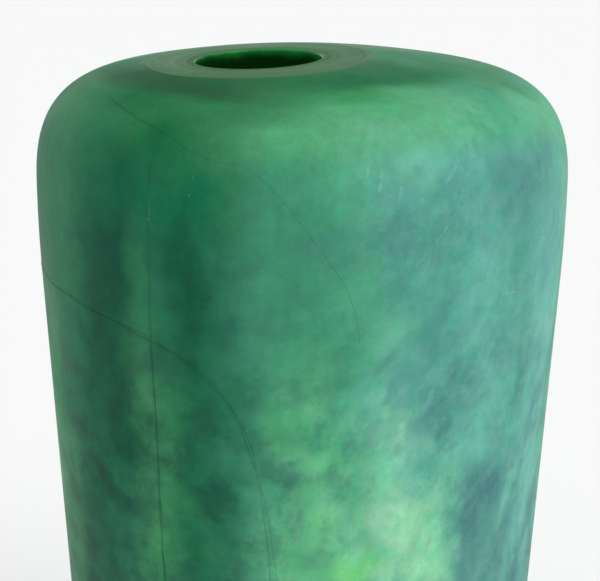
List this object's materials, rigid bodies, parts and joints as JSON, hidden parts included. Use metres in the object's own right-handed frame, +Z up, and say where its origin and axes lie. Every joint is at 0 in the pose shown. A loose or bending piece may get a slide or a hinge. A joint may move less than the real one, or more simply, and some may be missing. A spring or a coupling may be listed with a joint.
{
  "type": "blown glass vase",
  "caption": "Tall broad-shouldered satin glass vase, tapering to a flat foot, with a small off-centre mouth in a tilted ground top and fine glass threads laid flush in the skin",
  "frame": {"origin": "centre of the foot, on the surface the vase stands on, on the axis of the body", "axes": "+Z up along the body's axis, -Y the front that the picture shows, +X to the right seen from the front (the mouth is on the -X side)"},
  "size_m": [0.2, 0.2, 0.33],
  "materials": {
    "satin_casing": "acid-satin outer gather, mottled green and teal",
    "colour_coat": "dense fused colour powder, teal and green",
    "emerald_lining": "glossy fire-polished emerald glass",
    "thread_dark": "dark hair-fine glass thread, marvered flush",
    "thread_teal": "dark teal twisted glass thread, marvered flush",
    "thread_pale": "soft green glass thread, marvered flush"
  },
  "bodies": {
    "root": {"outer_casing": "satin_casing", "colour_coat": "colour_coat", "inner_lining": "emerald_lining", "vertical_thread": "thread_dark", "curved_thread_a": "thread_teal", "curved_thread_b": "thread_teal", "shoulder_thread": "thread_pale"}
  },
  "joints": []
}
